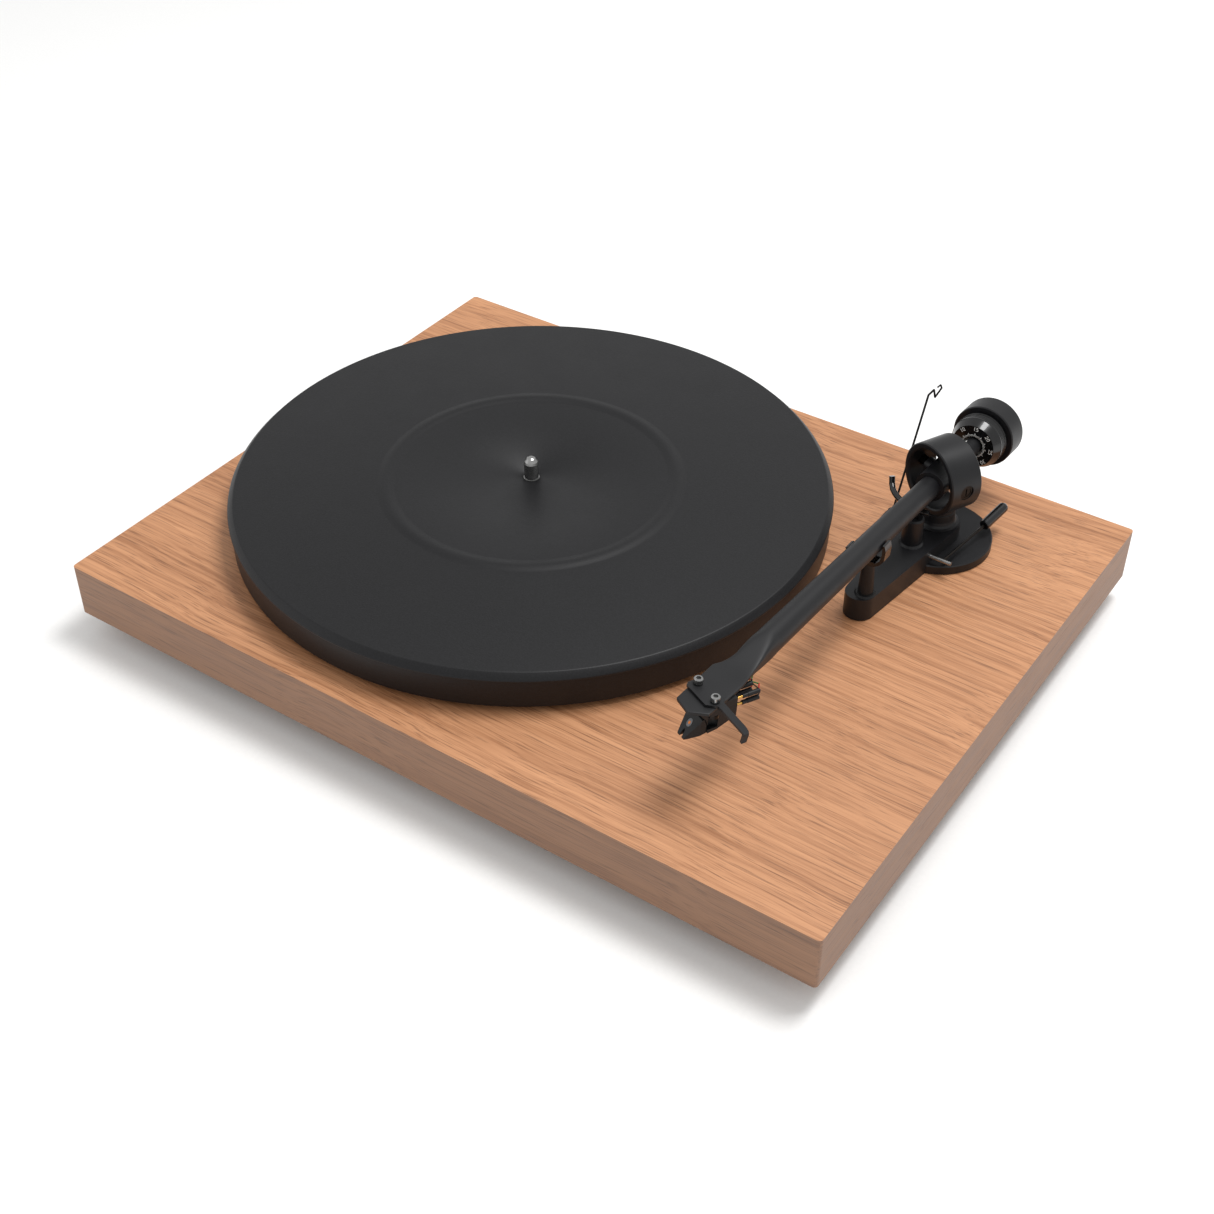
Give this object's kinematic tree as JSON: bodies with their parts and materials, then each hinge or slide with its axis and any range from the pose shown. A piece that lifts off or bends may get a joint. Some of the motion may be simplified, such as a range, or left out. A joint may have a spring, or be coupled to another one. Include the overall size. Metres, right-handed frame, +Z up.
{
  "type": "turntable record player",
  "caption": "Belt-drive record player: wood-veneered plinth, heavy platter, and a gimballed tonearm with counterweight, cueing lift, arm rest and cartridge.",
  "frame": {"origin": "Centre of the footprint, on the surface the feet stand on", "axes": "+X is right along the front edge, +Y is to the back, +Z is up"},
  "size_m": [0.415, 0.3221, 0.1179],
  "materials": {
    "veneer": "open-grain walnut veneer, oiled satin",
    "black_powder": "fine textured black powder coat",
    "black_satin": "smooth satin black paint",
    "black_gloss": "polished black plastic",
    "black_plastic": "moulded black plastic",
    "white_plastic": "moulded off-white plastic",
    "rubber": "moulded rubber",
    "steel": "turned and polished steel",
    "dark_steel": "blackened steel",
    "brass": "turned brass",
    "aluminium": "turned aluminium",
    "board_green": "solder-masked board",
    "wire_skin": "coloured wire insulation",
    "gold": "gold-plated contacts"
  },
  "bodies": {
    "base": {"plinth": "veneer", "foot_cups": "black_plastic", "foot_pads": "rubber", "foot_bolts": "steel", "bearing_housing": "brass", "bearing_bush": "brass", "thrust_pad": "white_plastic", "thrust_ball": "steel", "bearing_screws": "steel", "motor_can": "steel", "motor_bracket": "dark_steel", "motor_grommets": "rubber", "motor_screws": "steel", "motor_cover": "black_plastic", "circuit_board": "board_green", "socket_plate": "black_satin", "phono_sockets": "gold", "power_socket": "black_plastic", "earth_terminal": "gold", "board_cover": "black_plastic", "cover_screws": "steel", "switch_body": "black_plastic", "lead_wires": "wire_skin", "arm_base": "black_satin", "arm_base_nut": "dark_steel", "arm_pillar": "black_satin", "pillar_bearings": "steel", "lift_cylinder": "black_satin", "rest_post": "black_plastic", "rest_clip": "black_gloss", "skating_wire": "black_satin", "drive_belt": "rubber"},
    "rotor": {"sub_platter": "white_plastic", "spindle_shaft": "steel"},
    "platter": {"platter": "black_powder", "damping_ring": "rubber"},
    "pulley": {"motor_pulley": "aluminium", "motor_shaft": "steel"},
    "rocker": {"switch_rocker": "black_plastic"},
    "bow": {"lift_bow": "black_gloss"},
    "lever": {"lift_lever": "steel", "lever_sleeve": "black_gloss"},
    "yoke": {"gimbal_ring": "black_satin", "yaw_shaft": "steel", "pivot_screws": "dark_steel", "pivot_locknuts": "dark_steel"},
    "arm": {"arm_tube": "black_satin", "arm_collar": "black_satin", "rear_stub": "black_satin", "finger_lift": "black_satin", "cartridge_body": "black_plastic", "cartridge_screws": "steel", "contact_pins": "gold", "tag_sleeves": "black_plastic", "cartridge_wires": "wire_skin"},
    "stylus": {"stylus_holder": "black_plastic", "cantilever": "aluminium"},
    "weight_insert": {"weight_bush": "white_plastic"},
    "weight": {"counterweight": "black_satin"},
    "dial": {"scale_ring": "black_gloss"}
  },
  "joints": [
    {"name": "platter_spin", "type": "hinge", "parent": "base", "child": "rotor", "pos_m": [-0.049, 0.0025, 0.042], "axis": [0, 0, -1], "continuous": true},
    {"name": "platter_lift", "type": "slide", "parent": "rotor", "child": "platter", "axis": [0, 0, 1], "range_m": [0, 0.012]},
    {"name": "pulley_spin", "type": "hinge", "parent": "base", "child": "pulley", "pos_m": [-0.09803, 0.09873, 0.042], "axis": [0, 0, -1], "continuous": true},
    {"name": "switch_press", "type": "hinge", "parent": "base", "child": "rocker", "pos_m": [-0.12, -0.14, 0.016], "axis": [0, 1, 0], "range_deg": [0, 12]},
    {"name": "lever_turn", "type": "hinge", "parent": "base", "child": "lever", "pos_m": [0.144, 0.072, 0.051], "axis": [1, 0, 0], "range_deg": [0, 8.5]},
    {"name": "bow_rise", "type": "slide", "parent": "base", "child": "bow", "axis": [0, 0, 1], "range_m": [0, 0.0015]},
    {"name": "arm_swing", "type": "hinge", "parent": "base", "child": "yoke", "pos_m": [0.1285, 0.096, 0.0816], "axis": [0, 0, 1], "range_deg": [-44.5, 0]},
    {"name": "arm_dip", "type": "hinge", "parent": "yoke", "child": "arm", "pos_m": [0.1285, 0.096, 0.0816], "axis": [-0.9037, 0.4281, 0], "range_deg": [-3.05, 11.5]},
    {"name": "stylus_pull", "type": "slide", "parent": "arm", "child": "stylus", "axis": [-0.4275, -0.9024, 0.0532], "range_m": [0, 0.008]},
    {"name": "weight_travel", "type": "slide", "parent": "arm", "child": "weight_insert", "axis": [0.0143, 0.9987, -0.0484], "range_m": [-0.0029, 0.0029]},
    {"name": "weight_turn", "type": "hinge", "parent": "weight_insert", "child": "weight", "pos_m": [0.1285, 0.096, 0.0816], "axis": [0.0143, 0.9987, -0.0484], "range_deg": [-720, 720]},
    {"name": "dial_turn", "type": "hinge", "parent": "weight", "child": "dial", "pos_m": [0.1285, 0.096, 0.0816], "axis": [0.0143, 0.9987, -0.0484], "continuous": true}
  ],
  "couplings": [
    {"joint": "pulley_spin", "follows": "platter_spin", "ratio": 7.5},
    {"joint": "bow_rise", "follows": "lever_turn", "m_per_rad": 0.010044},
    {"joint": "weight_turn", "follows": "weight_travel", "rad_per_m": 4188.8}
  ]
}
